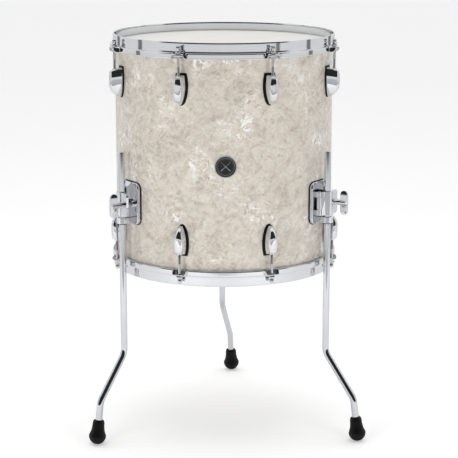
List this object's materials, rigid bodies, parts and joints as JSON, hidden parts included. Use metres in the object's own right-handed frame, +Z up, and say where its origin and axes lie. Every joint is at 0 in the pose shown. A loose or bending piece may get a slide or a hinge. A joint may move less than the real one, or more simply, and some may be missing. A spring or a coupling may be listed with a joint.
{
  "type": "floor tom drum",
  "caption": "Floor tom with a pearl-wrapped shell, steel hoops tensioned by key rods and teardrop lugs, on bent steel legs held in hinged clamp brackets.",
  "frame": {"origin": "on the floor, under the middle of the whole drum's bounding box", "axes": "+Z up along the drum's axis, -Y towards the player's front with the badge, +X to the right seen from the front"},
  "size_m": [0.516, 0.522, 0.7472],
  "materials": {
    "maple_shell": "satin",
    "pearl_wrap": "gloss",
    "badge_enamel": "gloss",
    "coated_film": "matte",
    "clear_film": "gloss",
    "flesh_hoop_aluminium": "satin",
    "rod_chrome": "polished",
    "hoop_chrome": "polished",
    "lug_chrome": "polished",
    "gasket_rubber": "matte",
    "nut_brass": "satin",
    "screw_steel": "satin",
    "pin_steel": "satin",
    "bush_nylon": "matte",
    "foot_rubber": "matte",
    "leg_chrome": "polished",
    "wing_chrome": "polished",
    "bracket_chrome": "polished"
  },
  "bodies": {
    "drum": {"shell": "maple_shell", "pearl_wrap": "pearl_wrap", "badge": "badge_enamel", "batter_head_film": "coated_film", "batter_flesh_hoop": "flesh_hoop_aluminium", "batter_hoop": "hoop_chrome", "batter_tension_rods": "rod_chrome", "batter_lug_1": "lug_chrome", "batter_lug_2": "lug_chrome", "batter_lug_3": "lug_chrome", "batter_lug_4": "lug_chrome", "batter_lug_5": "lug_chrome", "batter_lug_6": "lug_chrome", "batter_lug_7": "lug_chrome", "batter_lug_8": "lug_chrome", "resonant_head_film": "clear_film", "resonant_flesh_hoop": "flesh_hoop_aluminium", "resonant_hoop": "hoop_chrome", "resonant_tension_rods": "rod_chrome", "resonant_lug_1": "lug_chrome", "resonant_lug_2": "lug_chrome", "resonant_lug_3": "lug_chrome", "resonant_lug_4": "lug_chrome", "resonant_lug_5": "lug_chrome", "resonant_lug_6": "lug_chrome", "resonant_lug_7": "lug_chrome", "resonant_lug_8": "lug_chrome", "tension_rod_washers": "rod_chrome", "lug_gaskets": "gasket_rubber", "swivel_nuts": "nut_brass", "lug_screws": "screw_steel", "bracket_screws": "screw_steel", "bracket_gaskets": "gasket_rubber", "gate_hinge_pins": "pin_steel", "clamp_studs": "pin_steel", "left_bracket_base": "bracket_chrome", "right_bracket_base": "bracket_chrome", "rear_bracket_base": "bracket_chrome"},
    "left_washer": {"left_clamp_washer": "wing_chrome"},
    "left_wing": {"left_wing_nut": "wing_chrome"},
    "left_gate": {"left_clamp_gate": "bracket_chrome"},
    "left_bush": {"left_leg_bush": "bush_nylon"},
    "left_leg": {"left_leg": "leg_chrome", "left_rubber_foot": "foot_rubber"},
    "right_washer": {"right_clamp_washer": "wing_chrome"},
    "right_wing": {"right_wing_nut": "wing_chrome"},
    "right_gate": {"right_clamp_gate": "bracket_chrome"},
    "right_bush": {"right_leg_bush": "bush_nylon"},
    "right_leg": {"right_leg": "leg_chrome", "right_rubber_foot": "foot_rubber"},
    "rear_washer": {"rear_clamp_washer": "wing_chrome"},
    "rear_wing": {"rear_wing_nut": "wing_chrome"},
    "rear_gate": {"rear_clamp_gate": "bracket_chrome"},
    "rear_bush": {"rear_leg_bush": "bush_nylon"},
    "rear_leg": {"rear_leg": "leg_chrome", "rear_rubber_foot": "foot_rubber"}
  },
  "joints": [
    {"name": "left_washer_slide", "type": "slide", "parent": "drum", "child": "left_washer", "axis": [-0.841, -0.541, 0], "range_m": [0, 0.005]},
    {"name": "left_wing_turn", "type": "hinge", "parent": "left_washer", "child": "left_wing", "pos_m": [-0.19126, -0.18644, 0.445], "axis": [-0.841, -0.541, 0], "range_deg": [0, 1440]},
    {"name": "left_gate_swing", "type": "hinge", "parent": "drum", "child": "left_gate", "pos_m": [-0.19495, -0.15076, 0.445], "axis": [0, 0, -1], "range_deg": [0, 7.4]},
    {"name": "left_leg_swivel", "type": "hinge", "parent": "drum", "child": "left_bush", "pos_m": [-0.19248, -0.16939, 0.445], "axis": [0, 0, 1], "continuous": true},
    {"name": "left_leg_height", "type": "slide", "parent": "left_bush", "child": "left_leg", "axis": [0, 0, 1], "range_m": [-0.045, 0.13]},
    {"name": "right_washer_slide", "type": "slide", "parent": "drum", "child": "right_washer", "axis": [0.841, -0.541, 0], "range_m": [0, 0.005]},
    {"name": "right_wing_turn", "type": "hinge", "parent": "right_washer", "child": "right_wing", "pos_m": [0.19931, -0.1612, 0.445], "axis": [0.841, -0.541, 0], "range_deg": [0, 1440]},
    {"name": "right_gate_swing", "type": "hinge", "parent": "drum", "child": "right_gate", "pos_m": [0.16838, -0.17936, 0.445], "axis": [0, 0, -1], "range_deg": [0, 7.4]},
    {"name": "right_leg_swivel", "type": "hinge", "parent": "drum", "child": "right_bush", "pos_m": [0.1843, -0.16939, 0.445], "axis": [0, 0, 1], "continuous": true},
    {"name": "right_leg_height", "type": "slide", "parent": "right_bush", "child": "right_leg", "axis": [0, 0, 1], "range_m": [-0.045, 0.13]},
    {"name": "rear_washer_slide", "type": "slide", "parent": "drum", "child": "rear_washer", "axis": [0, 1, 0], "range_m": [0, 0.005]},
    {"name": "rear_wing_turn", "type": "hinge", "parent": "rear_washer", "child": "rear_wing", "pos_m": [-0.0191, 0.18399, 0.445], "axis": [0, 1, 0], "range_deg": [0, 1440]},
    {"name": "rear_gate_swing", "type": "hinge", "parent": "drum", "child": "rear_gate", "pos_m": [0.01291, 0.16779, 0.445], "axis": [0, 0, -1], "range_deg": [0, 7.4]},
    {"name": "rear_leg_swivel", "type": "hinge", "parent": "drum", "child": "rear_bush", "pos_m": [-0.00409, 0.17579, 0.445], "axis": [0, 0, 1], "continuous": true},
    {"name": "rear_leg_height", "type": "slide", "parent": "rear_bush", "child": "rear_leg", "axis": [0, 0, 1], "range_m": [-0.045, 0.13]}
  ],
  "couplings": [
    {"joint": "left_washer_slide", "follows": "left_wing_turn", "m_per_rad": 0.000198},
    {"joint": "left_gate_swing", "follows": "left_wing_turn", "ratio": 0.005},
    {"joint": "right_washer_slide", "follows": "right_wing_turn", "m_per_rad": 0.000198},
    {"joint": "right_gate_swing", "follows": "right_wing_turn", "ratio": 0.005},
    {"joint": "rear_washer_slide", "follows": "rear_wing_turn", "m_per_rad": 0.000198},
    {"joint": "rear_gate_swing", "follows": "rear_wing_turn", "ratio": 0.005}
  ]
}
